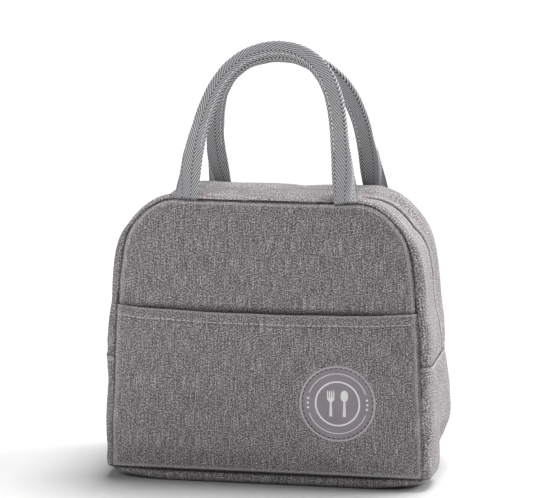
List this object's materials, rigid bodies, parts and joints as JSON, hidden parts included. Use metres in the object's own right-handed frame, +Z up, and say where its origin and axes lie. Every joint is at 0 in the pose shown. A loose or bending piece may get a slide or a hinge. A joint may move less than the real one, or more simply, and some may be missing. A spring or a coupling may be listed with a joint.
{
  "type": "insulated lunch bag",
  "caption": "Soft insulated lunch bag with rounded top, zipped mouth, front slip pocket with round badge and two folded webbing handles.",
  "frame": {"origin": "middle of the footprint, on the surface the bag stands on", "axes": "+Z up, X across the width, the pocket faces -Y"},
  "size_m": [0.2471, 0.1402, 0.325],
  "materials": {
    "fabric": "warm grey melange polyester, plain weave with slubs",
    "foam": "closed-cell foam sheet",
    "lining": "silver foil-laminated film, welded",
    "binding": "woven binding tape",
    "zip_tape": "woven zip tape",
    "zip_teeth": "nylon coil",
    "thread": "polyester sewing thread",
    "badge": "smooth synthetic leather, mauve grey",
    "print": "white printed ink",
    "webbing": "herringbone webbing, light and dark grey",
    "metal": "plated zinc, satin"
  },
  "bodies": {
    "tub": {"base_panel": "fabric", "base_foam": "foam", "lower_front_panel": "fabric", "lower_front_foam": "foam", "lower_back_panel": "fabric", "lower_back_foam": "foam", "right_side_panel": "fabric", "right_side_foam": "foam", "left_side_panel": "fabric", "left_side_foam": "foam", "gusset_feet": "fabric", "zip_end_tape": "zip_tape", "zip_end_teeth": "zip_teeth", "lower_lining": "lining", "side_topstitching": "thread", "pocket_lower": "fabric", "badge": "badge", "badge_stitching": "thread", "badge_print": "print"},
    "front_half": {"front_panel": "fabric", "front_foam": "foam", "front_gusset": "fabric", "front_gusset_foam": "foam", "front_zip_tape": "zip_tape", "front_zip_teeth": "zip_teeth", "front_lining": "lining", "front_seam_binding": "binding", "pocket_upper": "fabric", "pocket_hem_stitching": "thread"},
    "back_half": {"back_panel": "fabric", "back_foam": "foam", "back_gusset": "fabric", "back_gusset_foam": "foam", "back_zip_tape": "zip_tape", "back_zip_teeth": "zip_teeth", "back_lining": "lining", "back_seam_binding": "binding"},
    "front_strap": {"front_handle": "webbing", "front_handle_stitching": "thread"},
    "back_strap": {"back_handle": "webbing", "back_handle_stitching": "thread"},
    "slider": {"zip_slider": "metal"},
    "pull": {"pull_tab": "metal"}
  },
  "joints": [
    {"name": "front_half_opens", "type": "hinge", "parent": "tub", "child": "front_half", "pos_m": [0, -0.0714, 0.106], "axis": [1, 0, 0], "range_deg": [0, 22]},
    {"name": "back_half_opens", "type": "hinge", "parent": "tub", "child": "back_half", "pos_m": [0, 0.065, 0.106], "axis": [-1, 0, 0], "range_deg": [0, 22]},
    {"name": "front_handle_swings", "type": "hinge", "parent": "front_half", "child": "front_strap", "pos_m": [0, -0.0663, 0.2109], "axis": [1, 0, 0], "range_deg": [0, 200]},
    {"name": "back_handle_swings", "type": "hinge", "parent": "back_half", "child": "back_strap", "pos_m": [0, 0.0663, 0.2109], "axis": [-1, 0, 0], "range_deg": [0, 200]},
    {"name": "slider_runs", "type": "slide", "parent": "tub", "child": "slider", "axis": [-0.1392, 0, -0.9903], "range_m": [-0.06, 0]},
    {"name": "pull_swings", "type": "hinge", "parent": "slider", "child": "pull", "pos_m": [-0.12206, 0, 0.0987], "axis": [0, 1, 0], "range_deg": [0, 150]}
  ]
}
